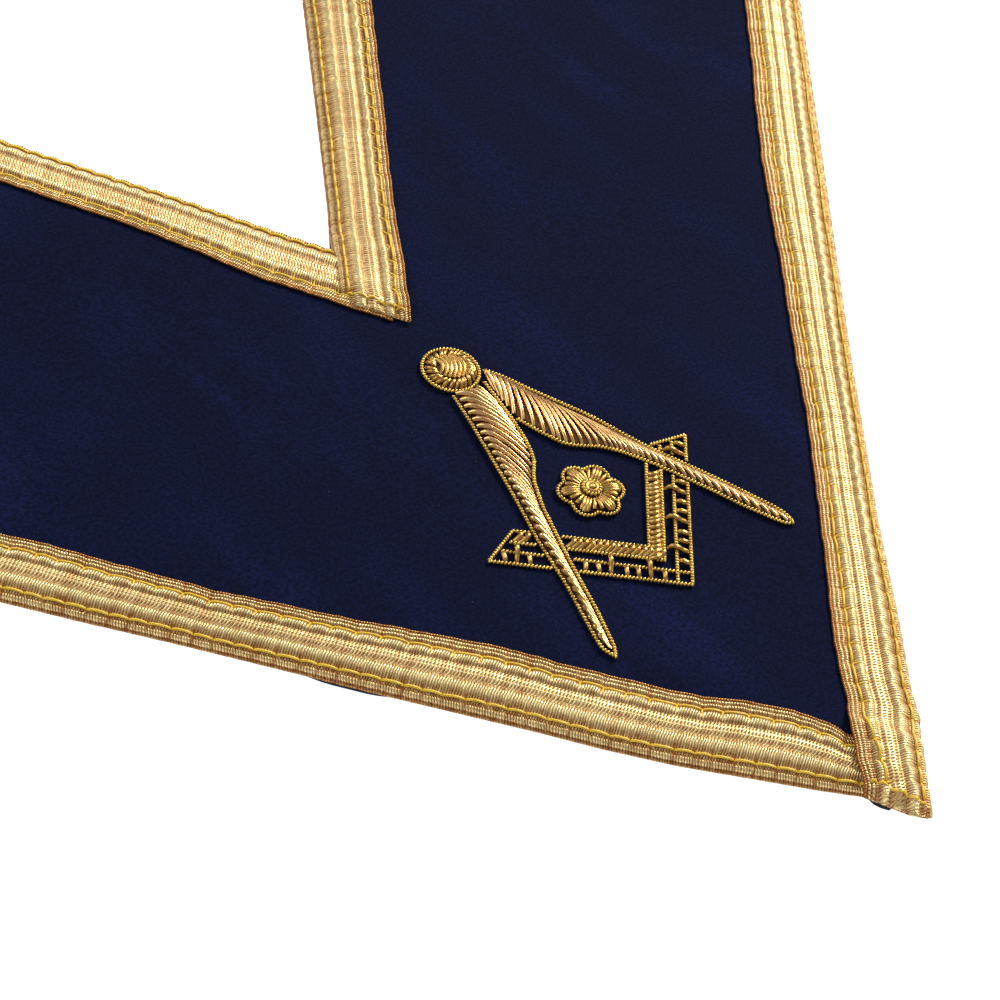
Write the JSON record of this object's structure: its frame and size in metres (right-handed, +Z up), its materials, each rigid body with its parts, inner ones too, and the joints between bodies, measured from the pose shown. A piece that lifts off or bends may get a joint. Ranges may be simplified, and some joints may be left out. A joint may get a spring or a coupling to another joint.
{
  "type": "masonic collar",
  "caption": "Flat velvet regalia collar with a pointed front, metallic lace along both edges and a raised bullion square and compasses.",
  "frame": {"origin": "under the middle of the collar's overall length and width, at the face that rests", "axes": "+Y from the pointed front to the back of the neck, +X across towards the arm whose laces lie on top at the front, +Z up out of the velvet"},
  "size_m": [0.4334, 0.5504, 0.0073],
  "materials": {
    "lining_cloth": "plain woven cotton lining, navy, matt",
    "velvet": "short pile velvet, midnight navy",
    "gold_lace": "woven metallic lace, pale gold over copper, satin sheen",
    "bullion_wire": "coiled bullion wire, bright gold and rose gold"
  },
  "bodies": {
    "root": {"lining": "lining_cloth", "velvet_face": "velvet", "outer_lace_left": "gold_lace", "outer_lace_right": "gold_lace", "inner_lace_left": "gold_lace", "inner_lace_right": "gold_lace", "compass_head": "bullion_wire", "compass_leg_left": "bullion_wire", "compass_leg_right": "bullion_wire", "square_border": "bullion_wire", "square_band": "bullion_wire", "square_scale_line": "bullion_wire", "rosette": "bullion_wire"}
  },
  "joints": []
}
